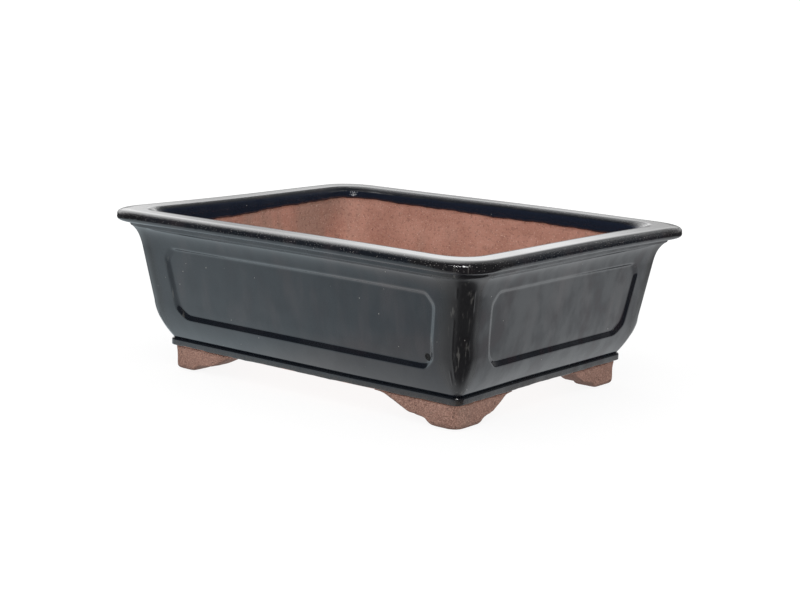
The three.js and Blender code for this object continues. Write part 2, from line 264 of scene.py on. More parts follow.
def glaze_front():
    """The glaze's face, from its edge inside the lip over the lip and down to its edge on the rail."""
    inner = LIP_TOP - GLAZE_DROP
    path = [(LIP_INNER_FOOT - GLAZE_THICKNESS, inner, MOUTH_CORNER + GLAZE_THICKNESS)]
    extend(path, (LIP_INNER_FOOT, inner + GLAZE_ROLL, MOUTH_CORNER), FINE / 2, (LIP_INNER_FOOT, inner))
    extend(path, (LIP_TOP_WIDTH, LIP_TOP - BEVEL_DROP, MOUTH_CORNER), FACE_STEP)
    bevel = (BEVEL_PULL_INSET, LIP_TOP - BEVEL_PULL_DROP)
    extend(path, (LIP_FLAT_WIDTH, LIP_TOP, BEVEL_CORNER), EDGE_STEP, bevel)
    extend(path, (LIP_EDGE_WIDTH, LIP_TOP, LIP_FLAT_CORNER), LIP_TOP_STEP)
    extend(path, (0.0, LIP_TOP - LIP_EDGE_HEIGHT, LIP_CORNER), EDGE_STEP, (0.0, LIP_TOP))
    extend(path, (0.0, LIP_UNDER + LIP_ROUND_HEIGHT, LIP_CORNER), LIP_FACE_STEP)
    extend(path, (LIP_ROUND_WIDTH, LIP_UNDER, LIP_UNDER_CORNER), EDGE_STEP, (0.0, LIP_UNDER))
    extend(path, (NECK_INSET, LIP_UNDER - NECK_FALL, NECK_CORNER), EDGE_STEP)
    neck_foot = NECK_INSET + NECK_LEAN
    extend(path, (neck_foot, NECK_FOOT, NECK_FOOT_CORNER), NECK_STEP)
    extend(path, (neck_foot + LEDGE_WIDTH, NECK_FOOT - LEDGE_FALL, NECK_FOOT_CORNER), LEDGE_FALL)
    cove = (lean_inset(COVE_BEND), COVE_BEND, WALL_CORNER)
    extend(path, (lean_inset(COVE_TAIL), COVE_TAIL, WALL_CORNER), FINE, cove)
    for height, step in ((FINE_WALL_FOOT, FINE), (BELLY_TOP, WALL_STEP)):
        extend(path, (lean_inset(height), height, WALL_CORNER), step)
    belly = (lean_inset(BELLY_BEND), BELLY_BEND)
    extend(path, (CREASE_INSET, RAIL_TOP, RAIL_CORNER), FINE, belly)
    extend(path, (RAIL_INSET, RAIL_TOP - RAIL_ROUND, RAIL_CORNER), EDGE_STEP, (RAIL_INSET, RAIL_TOP))
    extend(path, (RAIL_INSET, GLAZE_FOOT + GLAZE_FOOT_ROUND, RAIL_CORNER), FACE_STEP)
    foot = (RAIL_INSET + GLAZE_THICKNESS, GLAZE_FOOT, RAIL_CORNER)
    extend(path, foot, FINE / 2, (RAIL_INSET, GLAZE_FOOT))
    return path


def hidden_back(depth, foot, head):
    """The unseen side between glaze and clay, a depth behind the glaze's face, from rail to lip."""
    def behind(inset, height, corner):
        return (inset + depth, height, max(corner - depth, LEAST_CORNER))
    path = [foot]
    extend(path, (foot[0], BACK_FOOT, foot[2]), MIDDLE)
    extend(path, behind(CREASE_INSET, RAIL_TOP, RAIL_CORNER), MIDDLE)
    bend = behind(lean_inset(BELLY_BEND), BELLY_BEND, RAIL_CORNER)
    extend(path, behind(lean_inset(BELLY_TOP), BELLY_TOP, WALL_CORNER), MIDDLE, bend[:2])
    extend(path, behind(LIP_OVERHANG, COVE_FOOT, WALL_CORNER), BACK_WALL_STEP)
    middle = (LIP_UNDER + LIP_TOP) / 2 - depth / 4
    extend(path, behind(NECK_INSET, middle, LIP_UNDER_CORNER), MIDDLE)
    extend(path, (BACK_HEAD_INSET, LIP_TOP - depth, head[2]), MIDDLE)
    extend(path, head, MIDDLE)
    return path


def clay_front():
    """The bare clay's face inside, from under the glaze's edge down the wall and out over the floor."""
    inner = LIP_INNER_FOOT - GLAZE_THICKNESS - CLAY_GAP
    corner = MOUTH_CORNER + GLAZE_THICKNESS
    path = [(BACK_HEAD_INSET, LIP_TOP - CLAY_BACK, corner)]
    extend(path, (inner, LIP_TOP - GLAZE_DROP - CLAY_TUCK, corner), CLAY_LIP_STEP)
    shoulder = (inner + SHOULDER_PULL, SHOULDER_BEND)
    extend(path, (SHOULDER_INSET, COVE_FOOT, INSIDE_CORNER), CLAY_STEP, shoulder)
    belly = lean_inset(BELLY_TOP) + WALL_THICKNESS
    extend(path, (belly, BELLY_TOP, INSIDE_CORNER), CLAY_STEP)
    floor_bend = (INSIDE_BEND_INSET, FLOOR_TOP)
    extend(path, (FLOOR_EDGE_INSET, FLOOR_TOP, INSIDE_CORNER), CLAY_STEP / 2, floor_bend)
    extend(path, (PATCH_INSET, FLOOR_TOP, INSIDE_CORNER), CLAY_STEP)
    return path


def clay_under():
    """The bare clay's face below, from the floor out to the rail's foot."""
    path = [(PATCH_INSET, BASE, INSIDE_CORNER)]
    edge = RAIL_INSET + GLAZE_THICKNESS + CLAY_GAP
    extend(path, (edge + UNDER_EDGE_WIDTH, BASE, RAIL_CORNER), CLAY_STEP)
    extend(path, (edge, BASE + UNDER_EDGE_HEIGHT, RAIL_CORNER), EDGE_STEP, (edge, BASE))
    return path


# Surfaces that follow a section all round the planter


def sweep(path, end_step, middle_step, corner_steps):
    """A swept surface with a row for each station: its points, and where each lies on its side or corner."""
    inset, height, corner = np.array(path).T[:, :, None]
    corner = corner * CORNER_REACH
    columns = []
    near = np.arange(0.0, END_ZONE, end_step)[None, :]
    turns = np.linspace(0.0, 1.0, corner_steps + 1)[None, 1:-1]
    across_turn = np.cos(turns * math.pi / 2) ** (2 / CORNER_POWER)
    along_turn = np.sin(turns * math.pi / 2) ** (2 / CORNER_POWER)
    for side in range(4):
        angle = side * math.pi / 2
        along = np.array([math.cos(angle), math.sin(angle)])
        out = np.array([math.sin(angle), -math.cos(angle)])
        half, half_across = (HALF_LENGTH, HALF_WIDTH) if side % 2 == 0 else (HALF_WIDTH, HALF_LENGTH)
        deep = half_across - inset
        reach = half - inset - corner
        count = round(2 * (half - LIP_OVERHANG - WALL_CORNER - END_ZONE) / middle_step)
        middle = (reach - END_ZONE) * np.linspace(-1.0, 1.0, count + 1)[None, :]
        place = np.concatenate([near - reach, middle, (reach - near)[:, ::-1]], axis=1)
        straight = place[..., None] * along + np.broadcast_to(deep, place.shape)[..., None] * out
        columns.append({"plan": straight, "out": out, "side": side, "place": place, "turn": -1.0})
        centre = reach[..., None] * along + (deep - corner)[..., None] * out
        bent = across_turn[..., None] * out + along_turn[..., None] * along
        rounded = centre + corner[..., None] * bent
        columns.append({"plan": rounded, "out": bent, "side": side, "place": half, "turn": turns})
    plan = np.concatenate([c["plan"] for c in columns], axis=1)
    swept = {"points": np.dstack([plan, np.broadcast_to(height, plan.shape[:2])])}
    for name in ("side", "place", "turn"):
        parts = [np.broadcast_to(c[name], c["plan"].shape[:2]) for c in columns]
        swept[name] = np.concatenate(parts, axis=1)
    swept["out"] = np.concatenate([np.broadcast_to(c["out"], c["plan"].shape) for c in columns], axis=1)
    return swept


def sheet_faces(rows, columns, first=0, closed=False):
    """Faces of a surface of rows that run round, where closed joins the last row to the first."""
    index = first + np.arange(rows * columns).reshape(rows, columns)
    below = index if closed else index[:-1]
    above = np.roll(index, -1, axis=0) if closed else index[1:]
    corners = (below, above, np.roll(above, -1, axis=1), np.roll(below, -1, axis=1))
    return np.stack(corners, axis=-1).reshape(-1, 4)


def panel_recess(side, place, height):
    """How deep the wall lies below its frame: a slope inside the outline, then the panel's own depth."""
    short = (side % 2).astype(int)
    half = np.array([HALF_LENGTH, HALF_WIDTH])[short]
    margin = np.array(PANEL_MARGINS)[short]
    shift = np.array(PANEL_SHIFTS)[short]
    edge = half - lean_inset(height) - margin - np.abs(place - shift)
    foot = height - PANEL_BOTTOM
    head = PANEL_TOP - height
    cut_low = (edge + foot - PANEL_CUT) * math.sqrt(0.5)
    cut_high = (edge + head - PANEL_CUT) * math.sqrt(0.5)
    distances = (edge, foot, head, cut_low, cut_high)
    weights = [np.exp(np.clip(-d / PANEL_ROUND, -60.0, 60.0)) for d in distances]
    total = sum(weights)
    inside = -PANEL_ROUND * np.log(total)
    lower = (weights[1] + weights[3]) / total
    upper = weights[2] / total
    slope = SIDE_SLOPE + (LOWER_SLOPE - SIDE_SLOPE) * lower + (UPPER_SLOPE - SIDE_SLOPE) * upper
    fall = np.clip(inside / slope, 0.0, 1.0)
    soft = smooth(0.0, 1.0, fall)
    higher = smooth(PANEL_BOTTOM, PANEL_BOTTOM + PANEL_LOW_HEIGHT, height)
    depth = PANEL_LOW_DEPTH + (PANEL_DEPTH - PANEL_LOW_DEPTH) * higher
    return depth * (soft + (fall - soft) * lower)


def glaze_runs(side, turn, height):
    """Thin upright ridges where glaze ran down the corners."""
    ridge = np.zeros(turn.shape)
    arc = WALL_CORNER * math.pi / 2
    for share, low, high in RUNS:
        place = np.where(side % 2 == 0, share, 1.0 - share)
        across = np.exp(-((turn - place) * arc / RUN_WIDTH) ** 2)
        foot = smooth(BASE + low, BASE + low + RUN_FADE, height)
        head = smooth(BASE + high + RUN_FADE, BASE + high, height)
        ridge += across * foot * head
    return RUN_HEIGHT * ridge * (turn >= 0.0)


def lumps(points, wave):
    """Slow unevenness between -1 and 1, about a wave's length across."""
    flat = (points.reshape(-1, 3) / wave).tolist()
    return np.array([noise.noise(p) for p in flat]).reshape(points.shape[:-1])


def hand_made(points):
    """The slow unevenness of a hand-pressed body: it grows from the base up, and the feet stay level."""
    x, y, z = points[..., 0], points[..., 1], points[..., 2]
    lift = smooth(BASE, LIP_TOP, z)
    moved = points.copy()
    moved[..., 2] += lift * (WARP * np.sin(x * 24.0 + 0.7) + CROSS_WARP * np.sin(y * 31.0 + x * 9.0))
    moved[..., 0] += lift * WARP * np.sin(y * 22.0 + 1.1 + z * 20.0)
    moved[..., 1] += lift * WARP * np.sin(x * 19.0 + 0.4 + z * 25.0)
    from_foot = np.hypot(x - HALF_LENGTH + RAIL_INSET, y + HALF_WIDTH - RAIL_INSET)
    pressed = smooth(PRESSED_REACH, 0.0, from_foot) * smooth(PRESSED_TOP, RAIL_TOP, z)
    from_lip = np.hypot(x - HALF_LENGTH, y - HALF_WIDTH)
    pulled = smooth(PULLED_REACH, 0.0, from_lip) * smooth(COVE_FOOT, LIP_UNDER, z)
    return moved + pressed[..., None] * np.array(PRESSED) + pulled[..., None] * np.array(PULLED)


def wavy(points, size, phase):
    """A line that wavers round the planter by up to a size."""
    turn = np.arctan2(points[..., 1] / HALF_WIDTH, points[..., 0] / HALF_LENGTH)
    waves = 0.0
    for number, (weight, count) in enumerate(EDGE_WAVES, start=1):
        waves = waves + weight * np.sin(turn * count + number * phase)
    return size * waves / sum(weight for weight, _ in EDGE_WAVES)


def edge_shift(points, inset):
    """How far the glaze's edges inside the lip and on the rail lie above or below their plain lines."""
    x, y, height = points[..., 0], points[..., 1], points[..., 2]
    inner_end = smooth(*INNER_EDGE_INSET, inset) * smooth(*INNER_EDGE_HEIGHT, height) * (height > COVE_FOOT)
    raised = smooth(*RAISED_ALONG, x) * smooth(*RAISED_ACROSS, y)
    lowered = smooth(*LOWERED_ALONG, x) * smooth(*LOWERED_ACROSS, y)
    inner_wave = wavy(points, INNER_WAVE, 0.5) + RAISED * raised - LOWERED * lowered
    lower_end = smooth(*FOOT_EDGE_HEIGHT, height)
    return inner_end * inner_wave + lower_end * wavy(points, FOOT_WAVE, 1.7)


def new_piece(name, points, faces, material):
    """A smooth mesh piece with creases kept sharp."""
    mesh = bpy.data.meshes.new(name)
    mesh.from_pydata(points.reshape(-1, 3).tolist(), [], faces)
    mesh.validate()
    mesh.shade_smooth()
    mesh.set_sharp_from_angle(angle=SHARP_ANGLE)
    mesh.materials.append(material)
    piece = bpy.data.objects.new(name, mesh)
    bpy.context.scene.collection.objects.link(piece)
    return piece


# Node helpers


def add(tree, kind, inputs=None, **settings):
    """A new node with its settings and inputs, where an input is a value or another node's socket."""
    node = tree.nodes.new(kind)
    for name, value in settings.items():
        setattr(node, name, value)
    for name, value in (inputs or {}).items():
        if isinstance(value, bpy.types.NodeSocket):
            tree.links.new(value, node.inputs[name])
        else:
            node.inputs[name].default_value = value
    return node


def maths(tree, operation, first, second=0.0, third=0.0):
    """The result of a sum on up to three values."""
    inputs = {0: first, 1: second, 2: third}
    return add(tree, "ShaderNodeMath", inputs, operation=operation).outputs[0]


def product(tree, first, *others):
    """The product of two or more values."""
    for other in others:
        first = maths(tree, "MULTIPLY", first, other)
    return first


def ramp(tree, value, low, high, start=0.0, end=1.0):
    """Rises softly from start to end while the value goes from low to high."""
    inputs = {"Value": value, "From Min": low, "From Max": high, "To Min": start, "To Max": end}
    return add(tree, "ShaderNodeMapRange", inputs, interpolation_type="SMOOTHSTEP").outputs[0]


def between(tree, share, first, second):
    """A mix of two values by a share."""
    return add(tree, "ShaderNodeMix", {0: share, 2: first, 3: second}).outputs[0]


def blend(tree, share, first, second):
    """A mix of two colours by a share."""
    first, second = [(*c, 1.0) if isinstance(c, tuple) else c for c in (first, second)]
    return add(tree, "ShaderNodeMix", {0: share, 6: first, 7: second}, data_type="RGBA").outputs[2]


def stretched(tree, scale):
    """Object coordinates, stretched along each axis."""
    place = add(tree, "ShaderNodeTexCoord").outputs["Object"]
    return add(tree, "ShaderNodeMapping", {"Vector": place, "Scale": scale}).outputs[0]


def plain_place(tree):
    """Object coordinates as they are, in metres."""
    return stretched(tree, (1.0, 1.0, 1.0))


def cloud(tree, place, scale, detail, roughness):
    """Soft noise between 0 and 1."""
    inputs = {"Vector": place, "Scale": scale, "Detail": detail, "Roughness": roughness}
    return add(tree, "ShaderNodeTexNoise", inputs).outputs[0]


def specks(tree, place, scale, size):
    """1 in scattered small dots and 0 between them."""
    cells = add(tree, "ShaderNodeTexVoronoi", {"Vector": place, "Scale": scale})
    return ramp(tree, cells.outputs["Distance"], size * 1.4, size)


def measure(tree, operation, place, other=(0.0, 0.0, 0.0)):
    """A place's length, its distance from another or its dot product with another."""
    node = add(tree, "ShaderNodeVectorMath", {0: place, 1: other}, operation=operation)
    return node.outputs["Value"]


def part_along(tree, place, direction):
    """How far a place lies along a direction."""
    return measure(tree, "DOT_PRODUCT", place, direction)


def new_material(name):
    """A new material with its node tree and its shader."""
    material = bpy.data.materials.new(name)
    material.use_nodes = True
    tree = material.node_tree
    return material, tree, tree.nodes["Principled BSDF"]


# Bare clay: tones, the left inner wall where more of it is smeared, and the height below which shade is
# painted on

BODY_DARK = (0.405, 0.198, 0.147)
BODY_LIGHT = (0.512, 0.270, 0.207)
# The feet's tones: the body's clay toned much darker, as painted shade
SHADED_FOOT_DARK = (0.170, 0.091, 0.070)
SHADED_FOOT_LIGHT = (0.240, 0.134, 0.105)
SMEAR_TONE = (0.27, 0.205, 0.165)
GRAIN_TONE = (0.52, 0.32, 0.25)
COARSE_TONE = (0.20, 0.10, 0.075)
FLECK_TONE = (0.78, 0.66, 0.56)
PIT_TONE = (0.055, 0.032, 0.026)
# Painted shade, for low edges and for faces that look down
PAINTED_SHADE_TONE = (0.055, 0.034, 0.028)
SMEARED_ALONG = (-0.080, -0.098)
SMEARED_HEIGHT = (0.03, 0.05)
SMEARED_MORE = 0.16
LOW_SHADE_HEIGHT = (0.0035, 0.0003)


def clay_material(name, dark, light, fleck, pit, underside_shade, depth):
    """Bare fired stoneware: blotchy and gritty, with flecks and pits, and painted shade on low edges and on
    faces that look down, each of given strength.
    """
    material, tree, shader = new_material(name)
    place = plain_place(tree)
    spot = add(tree, "ShaderNodeSeparateXYZ", {0: place}).outputs
    tone = blend(tree, ramp(tree, cloud(tree, place, 70.0, 4.0, 0.6), 0.3, 0.7), dark, light)
    smears = cloud(tree, stretched(tree, (28.0, 28.0, 9.0)), 1.0, 3.0, 0.6)
    left = product(tree, ramp(tree, spot["X"], *SMEARED_ALONG), ramp(tree, spot["Z"], *SMEARED_HEIGHT))
    smears = maths(tree, "MULTIPLY_ADD", left, SMEARED_MORE, smears)
    tone = blend(tree, ramp(tree, smears, 0.60, 0.76, 0.0, 0.6), tone, SMEAR_TONE)
    grain = cloud(tree, place, 1500.0, 2.0, 0.6)
    tone = blend(tree, ramp(tree, grain, 0.40, 0.66, 0.0, 0.5), tone, GRAIN_TONE)
    coarse = cloud(tree, place, 620.0, 2.0, 0.6)
    tone = blend(tree, ramp(tree, coarse, 0.48, 0.30, 0.0, 0.45), tone, COARSE_TONE)
    flecks = specks(tree, place, 560.0, 0.13)
    tone = blend(tree, product(tree, flecks, fleck), tone, FLECK_TONE)
    pits = specks(tree, stretched(tree, (1.0, 1.0, 1.3)), 330.0, 0.13)
    tone = blend(tree, product(tree, pits, pit), tone, PIT_TONE)
    facing_up = part_along(tree, add(tree, "ShaderNodeNewGeometry").outputs["Normal"], UP)
    # Painted shade: darker near the ground and on faces that look down, by the given strength
    near_ground = ramp(tree, spot["Z"], *LOW_SHADE_HEIGHT)
    painted_shade = maths(tree, "MAXIMUM", near_ground, ramp(tree, facing_up, -0.15, -0.75))
    tone = blend(tree, product(tree, painted_shade, underside_shade), tone, PAINTED_SHADE_TONE)
    tree.links.new(tone, shader.inputs["Base Color"])
    tree.links.new(ramp(tree, grain, 0.3, 0.7, 0.82, 0.98), shader.inputs["Roughness"])
    relief = maths(tree, "SUBTRACT", maths(tree, "MULTIPLY_ADD", coarse, 1.5, grain), pits)
    bump = add(tree, "ShaderNodeBump", {"Height": relief, "Strength": 0.6, "Distance": depth})
    tree.links.new(bump.outputs[0], shader.inputs["Normal"])
    shader.inputs["Specular IOR Level"].default_value = 0.25
    return material


# Glaze: tones, how far in from a sharp corner it turns dull, its zones by height, and one dull dot

GLAZE_BLACK = (0.0045, 0.0065, 0.0105)
GLAZE_BLUE = (0.0090, 0.0108, 0.0145)
STREAK_TONE = (0.0220, 0.0185, 0.0215)
STAIN_TONE = (0.0135, 0.0100, 0.0135)
CORNER_TONE = (0.0100, 0.0083, 0.0077)
# Painted highlight streaks on the corners
CORNER_HIGHLIGHT_TONE = (0.080, 0.077, 0.072)
THIN_TONE = (0.036, 0.030, 0.027)
INSIDE_TONE = (0.0085, 0.0125, 0.0240)
# Light specks: the glaze's own stray grit, and painted glints on the lip's edge
GRIT_AND_GLINT_TONE = (0.30, 0.29, 0.27)
DOT_TONE = (0.003, 0.003, 0.003)
CORNER_ROUGHNESS = 0.30
SHARP_CORNER = HALF_LENGTH + HALF_WIDTH - 2 * lean_inset(0.0)
CORNER_ZONE = (SHARP_CORNER - 0.017, SHARP_CORNER - 0.011)
BELOW_LIP = (LIP_UNDER, LIP_UNDER - 0.003)
LIP_EDGE_ZONE = (LIP_TOP - 0.0065, LIP_TOP - 0.0055)
THIN_ZONE = (BASE + 0.0040, BASE + 0.0012)
FACING_DEPTH = 0.03
DOT_PLACE = Vector((0.0867, -0.0826, 0.0367))
DOT_RADIUS = 0.0022


def glaze_masks(tree, place):
    """Where each trait of the glaze shows, as values from 0 to 1, and the noise that two of them share."""
    surface = add(tree, "ShaderNodeNewGeometry").outputs["Normal"]
    facing = add(tree, "ShaderNodeSeparateXYZ", {0: surface}).outputs
    spot = add(tree, "ShaderNodeSeparateXYZ", {0: place}).outputs
    inwards = part_along(tree, place, surface)
    turn = maths(tree, "ABSOLUTE", product(tree, facing["X"], facing["Y"]))
    spread = maths(tree, "ADD", maths(tree, "ABSOLUTE", spot["X"]), maths(tree, "ABSOLUTE", spot["Y"]))
    spread = maths(tree, "SUBTRACT", spread, product(tree, spot["Z"], 2 * WALL_LEAN))
    mottled = ramp(tree, cloud(tree, place, 600.0, 3.0, 0.6), 0.35, 0.65, 0.15, 0.9)
    not_flat = product(tree, ramp(tree, facing["Z"], 0.985, 0.90), ramp(tree, facing["Z"], -0.25, 0.1))
    return {
        "streaks": cloud(tree, stretched(tree, (75.0, 75.0, 16.0)), 1.0, 3.0, 0.55),
        "stains": cloud(tree, stretched(tree, (95.0, 95.0, 55.0)), 1.0, 3.0, 0.55),
        "stained": ramp(tree, facing["X"], 0.6, 0.95, 0.15, 0.9),
        "above_belly": ramp(tree, spot["Z"], BELLY_BEND, BELLY_TOP),
        "corner": ramp(tree, spread, *CORNER_ZONE),
        "below_lip": ramp(tree, spot["Z"], *BELOW_LIP),
        "turning": ramp(tree, turn, 0.12, 0.36),
        "thin": product(tree, ramp(tree, spot["Z"], *THIN_ZONE), mottled),
        "lip_edge": product(tree, not_flat, ramp(tree, spot["Z"], *LIP_EDGE_ZONE)),
        "inside": ramp(tree, inwards, 0.0, -FACING_DEPTH),
        "outside": ramp(tree, inwards, 0.0, FACING_DEPTH),
        "dot": ramp(tree, measure(tree, "DISTANCE", place, DOT_PLACE), DOT_RADIUS, DOT_RADIUS * 0.8),
    }


def glaze_tone(tree, place, masks):
    """Blue-black with streaks and stains, browner at corners and where it is thin, with painted highlights as
    light streaks on the corners, painted glints as light specks on the lip's outer edge, and stray light
    grit.
    """
    tone = blend(tree, ramp(tree, cloud(tree, place, 34.0, 3.0, 0.5), 0.3, 0.7), GLAZE_BLACK, GLAZE_BLUE)
    streaky = product(tree, ramp(tree, masks["streaks"], 0.45, 0.75, 0.0, 0.9), masks["above_belly"])
    tone = blend(tree, streaky, tone, STREAK_TONE)
    stained = product(tree, ramp(tree, masks["stains"], 0.52, 0.68), masks["stained"])
    tone = blend(tree, stained, tone, STAIN_TONE)
    tone = blend(tree, product(tree, masks["corner"], 0.6), tone, CORNER_TONE)
    # Painted highlights: thin light upright streaks on the turning corners, where the glaze's runs mirror
    # light
    corner_highlights = ramp(tree, cloud(tree, stretched(tree, (560.0, 560.0, 15.0)), 1.0, 2.0, 0.6), 0.57, 0.72)
    tone = blend(tree, product(tree, corner_highlights, masks["turning"], 0.75), tone, CORNER_HIGHLIGHT_TONE)
    tone = blend(tree, masks["thin"], tone, THIN_TONE)
    tone = blend(tree, masks["inside"], tone, INSIDE_TONE)
    # Painted glints: light specks along the lip's outer edge; the stray specks below are the glaze's own grit
    edge_glints = product(tree, specks(tree, place, 1000.0, 0.13), masks["lip_edge"], masks["outside"], 0.6)
    stray_grit = product(tree, specks(tree, place, 120.0, 0.028), 0.8)
    tone = blend(tree, maths(tree, "MAXIMUM", edge_glints, stray_grit), tone, GRIT_AND_GLINT_TONE)
    return blend(tree, masks["dot"], tone, DOT_TONE)


def glaze_roughness(tree, masks):
    """Glossy all over, but duller where it is thin, on the corners below the lip and on the dot."""
    rough = ramp(tree, masks["streaks"], 0.3, 0.7, 0.04, 0.10)
    dull_corner = product(tree, masks["corner"], masks["below_lip"], CORNER_ROUGHNESS)
    for duller in (product(tree, masks["thin"], 0.3), dull_corner, masks["dot"]):
        rough = maths(tree, "MAXIMUM", rough, duller)
    return rough


def glaze_relief(tree, place, masks):
    """Orange peel and pinholes, with pits on the lip's edge and where the glaze is thin."""
    pitted = ramp(tree, cloud(tree, place, 1300.0, 2.0, 0.6), 0.45, 0.75)
    peel = product(tree, cloud(tree, place, 260.0, 2.0, 0.5), 0.15)
    relief = maths(tree, "SUBTRACT", peel, product(tree, specks(tree, place, 210.0, 0.055), 0.6))
    relief = maths(tree, "ADD", relief, product(tree, pitted, masks["lip_edge"], 2.0))
    relief = maths(tree, "ADD", relief, product(tree, pitted, masks["thin"]))
    return add(tree, "ShaderNodeBump", {"Height": relief, "Strength": 0.14, "Distance": 0.0005}).outputs[0]


def glaze_material():
    """The dark glaze, whose stains on the right wall also change how strongly it mirrors."""
    material, tree, shader = new_material("dark_glaze")
    place = plain_place(tree)
    masks = glaze_masks(tree, place)
    cloudy = ramp(tree, masks["stains"], 0.34, 0.66, 0.74, 0.38)
    tree.links.new(glaze_tone(tree, place, masks), shader.inputs["Base Color"])
    tree.links.new(glaze_roughness(tree, masks), shader.inputs["Roughness"])
    tree.links.new(between(tree, masks["stained"], 0.5, cloudy), shader.inputs["Specular IOR Level"])
    tree.links.new(glaze_relief(tree, place, masks), shader.inputs["Normal"])
    shader.inputs["IOR"].default_value = 1.52
    return material


# Pieces


def glaze_piece(material):
    """The whole glaze as one closed skin, with the panels sunk into it and wavering edges."""
    front = glaze_front()
    back = hidden_back(GLAZE_BACK, front[-1], front[0])[1:-1]
    swept = sweep(front + back, FINE, MIDDLE, CORNER_STEPS)
    points = swept["points"]
    seen = len(front)
    side, place, turn, out = [swept[name][:seen] for name in ("side", "place", "turn", "out")]
    height = points[:seen, :, 2]
    below_lip = np.array([inset > LIP_ROUND_WIDTH and z < LIP_UNDER for inset, z, _ in front])[:, None]
    depth = (turn < 0.0) * panel_recess(side, place, height) - glaze_runs(side, turn, height)
    depth = depth * below_lip - LUMP_HEIGHT * lumps(points[:seen], LUMP_WAVE)
    points[:seen, :, :2] -= depth[..., None] * out
    inset = np.array([station[0] for station in front])[:, None]
    points[:seen, :, 2] += edge_shift(points[:seen], inset)
    points = hand_made(points)
    faces = sheet_faces(len(points), points.shape[1], closed=True)
    piece = new_piece("glaze", points, faces.tolist(), material)
    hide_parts("glaze_coat")
    return piece


def circle(x, y, radius, height):
    """Points round a level circle."""
    angles = np.linspace(0.0, 2 * math.pi, HOLE_STEPS, endpoint=False)
    level = np.full(HOLE_STEPS, height)
    return np.stack([x + radius * np.cos(angles), y + radius * np.sin(angles), level], axis=1)


def floor_holes():
    """Middle and radius of each hole in the floor."""
    holes = [(end * DRAIN_X, 0.0, DRAIN_RADIUS) for end in (-1, 1)]
    holes += [(end * WIRE_X, flank * WIRE_Y, WIRE_RADIUS) for end in (-1, 1) for flank in (-1, 1)]
    return holes


def clear_of_holes(x, y, room):
    """Whether a place lies outside every hole, with some room to spare."""
    return all(math.hypot(x - a, y - b) > radius + room for a, b, radius in floor_holes())


def floor_patch(rim, height):
    """A flat sheet inside a rim, with the holes left out: its points and its triangles."""
    loops = [rim[:, :2]]
    loops += [circle(x, y, radius + HOLE_ROUND, height)[:, :2] for x, y, radius in floor_holes()]
    points, edges = [], []
    for loop in loops:
        first = len(points)
        points += [Vector(p) for p in loop.tolist()]
        edges += [(first + i, first + (i + 1) % len(loop)) for i in range(len(loop))]
    wide, deep = rim[:, 0].max() - PATCH_GRID, rim[:, 1].max() - PATCH_GRID
    round_off = INSIDE_CORNER * CORNER_REACH
    for x in np.arange(-wide, wide, PATCH_GRID):
        for y in np.arange(-deep, deep, PATCH_GRID):
            corner = max(abs(x) - wide + round_off, 0.0), max(abs(y) - deep + round_off, 0.0)
            if clear_of_holes(x, y, PATCH_ROOM) and math.hypot(*corner) < round_off:
                points.append(Vector((x, y)))
    verts, _, faces, _, _, _ = delaunay_2d_cdt(points, edges, [], 1, 1e-7)
    flat = np.array([(v.x, v.y, height) for v in verts])
    middles = [flat[face].mean(axis=0) for face in faces]
    kept = [list(face) for face, (x, y, _) in zip(faces, middles) if clear_of_holes(x, y, 0.0)]
    return flat, kept


def hole_wall(x, y, radius):
    """A hole's wall from the floor's top down through it, with rounded rims."""
    halfway = HOLE_ROUND * 0.3
    levels = [
        (radius + HOLE_ROUND, FLOOR_TOP),
        (radius + halfway, FLOOR_TOP - halfway),
        (radius, FLOOR_TOP - HOLE_ROUND),
        (radius, BASE + HOLE_ROUND),
        (radius + halfway, BASE + halfway),
        (radius + HOLE_ROUND, BASE),
    ]
    return np.stack([circle(x, y, wide, height) for wide, height in levels])


def clay_piece(material):
    """Walls, lip core, rail and floor as the one fired body that they are, with holes through the floor."""
    front, under = clay_front(), clay_under()
    back = hidden_back(CLAY_BACK, under[-1], front[0])[1:-1]
    ring = sweep(under + back + front, CLAY_STEP, MIDDLE, CORNER_STEPS // 3)["points"]
    rows, columns = ring.shape[:2]
    points = [ring.reshape(-1, 3)]
    faces = sheet_faces(rows, columns)[:, ::-1].tolist()
    count = rows * columns
    for rim, turned in ((ring[-1], False), (ring[0], True)):
        flat, triangles = floor_patch(rim, rim[0, 2])
        points.append(flat)
        faces += [[count + i for i in (t[::-1] if turned else t)] for t in triangles]
        count += len(flat)
    for x, y, radius in floor_holes():
        wall = hole_wall(x, y, radius)
        faces += sheet_faces(len(wall), HOLE_STEPS, first=count).tolist()
        points.append(wall.reshape(-1, 3))
        count += wall.shape[0] * wall.shape[1]
    points = hand_made(np.concatenate(points))
    piece = new_piece("clay_body", points, faces, material)
    nodes = ["floor_slab"]
    for kind in ("wall", "lip", "base_rail"):
        nodes += [f"{kind}_{side}" for side in ("front", "right", "back", "left")]
    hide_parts(*nodes)
    return piece


